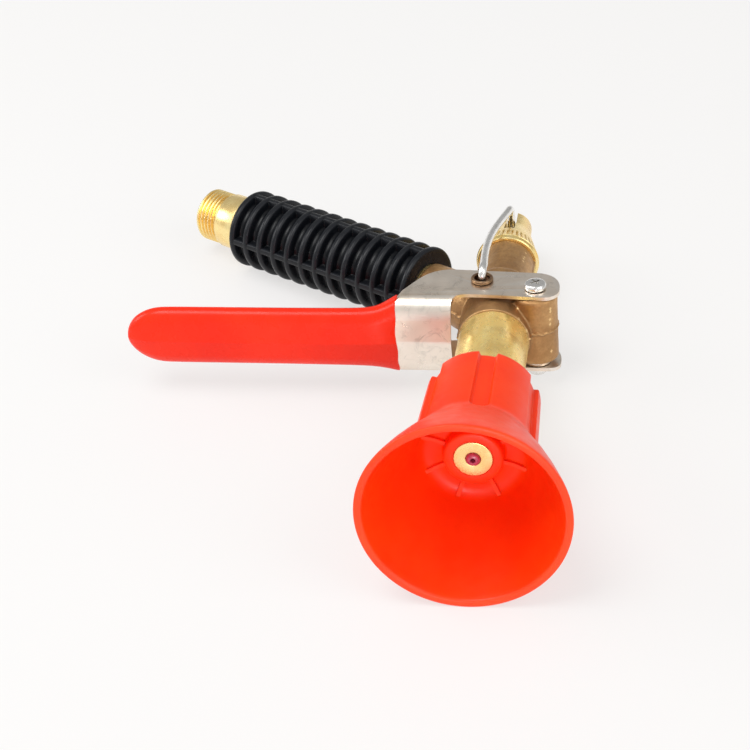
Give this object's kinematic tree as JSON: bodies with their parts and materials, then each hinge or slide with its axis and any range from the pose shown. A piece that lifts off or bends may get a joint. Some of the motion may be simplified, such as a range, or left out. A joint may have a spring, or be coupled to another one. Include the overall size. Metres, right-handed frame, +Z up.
{
  "type": "fire hose nozzle",
  "caption": "Lever-operated brass spray gun: ribbed inlet grip, squeeze lever that draws back a valve stem, and a screw-adjusted nozzle inside a bell hood",
  "frame": {"origin": "centre of the bounding box in plan, on the surface the gun lies on", "axes": "+Z up; the barrel's plan direction, towards the bell, is -Y; the lever and grip reach towards -X"},
  "size_m": [0.1732, 0.2228, 0.0716],
  "materials": {
    "cast_brass": "as-cast brass gone dull brown, fine grain",
    "bright_brass": "drawn brass tube, bright, lightly stained",
    "turned_brass": "lathe-turned brass",
    "stainless_sheet": "stamped stainless sheet, bright with warm stains",
    "bright_steel": "bright plated or stainless steel",
    "bronze": "darkened bronze eyelet",
    "red_plastic": "moulded orange-red rubber-like plastic",
    "red_vinyl": "dipped glossy red vinyl",
    "black_plastic": "moulded black plastic, semi-gloss",
    "rubber": "black nitrile rubber",
    "pink_ceramic": "dark pink ceramic",
    "spring_steel": "stainless spring wire"
  },
  "bodies": {
    "gun_body": {"body_casting": "cast_brass", "front_barrel": "bright_brass", "body_o_ring": "rubber", "valve_seat": "turned_brass", "swirl_core": "turned_brass", "stem_o_ring_front": "rubber", "stem_o_ring_rear": "rubber", "gland_bush": "turned_brass", "rear_cap": "turned_brass", "inlet_pipe": "turned_brass", "grip_sleeve": "black_plastic", "pivot_screw": "bright_steel", "pivot_nut": "bright_steel", "pivot_washer": "stainless_sheet", "return_spring": "spring_steel"},
    "lever": {"lever_plate": "stainless_sheet", "lever_coat": "red_vinyl", "eyelet_upper": "bronze", "eyelet_lower": "bronze"},
    "bail": {"wire_bail": "bright_steel"},
    "stem": {"valve_stem": "bright_steel", "stem_eye": "bright_steel", "poppet": "turned_brass", "poppet_seal": "rubber", "poppet_nut": "turned_brass", "spring_collar": "turned_brass"},
    "nozzle_ring": {"nozzle_o_ring": "rubber"},
    "nozzle": {"nozzle_cap": "turned_brass", "ceramic_insert": "pink_ceramic", "bell_hood": "red_plastic"}
  },
  "joints": [
    {"name": "lever_pivot", "type": "hinge", "parent": "gun_body", "child": "lever", "pos_m": [0.06541, 0.01557, 0.02248], "axis": [0.0092, 0.1068, 0.9942], "range_deg": [-18, 0], "stiffness_Nm_per_rad": 1, "springref_deg": 5.73},
    {"name": "bail_hinge", "type": "hinge", "parent": "lever", "child": "bail", "pos_m": [0.04541, 0.02076, 0.02211], "axis": [0.0092, 0.1068, 0.9942], "range_deg": [0, 20.5]},
    {"name": "stem_slide", "type": "slide", "parent": "gun_body", "child": "stem", "axis": [0, -0.9943, 0.1068], "range_m": [-0.0062, 0], "deforming": ["return_spring"]},
    {"name": "nozzle_advance", "type": "slide", "parent": "gun_body", "child": "nozzle_ring", "axis": [0, -0.9943, 0.1068], "range_m": [-0.00112, 0.00112]},
    {"name": "nozzle_turn", "type": "hinge", "parent": "nozzle_ring", "child": "nozzle", "pos_m": [0.05061, -0.03731, 0.0283], "axis": [0, -0.9943, 0.1068], "range_deg": [-270, 270]}
  ],
  "couplings": [
    {"joint": "bail_hinge", "follows": "lever_pivot", "ratio": -1.1306},
    {"joint": "stem_slide", "follows": "lever_pivot", "m_per_rad": 0.01942},
    {"joint": "nozzle_turn", "follows": "nozzle_advance", "rad_per_m": 4188.8}
  ]
}
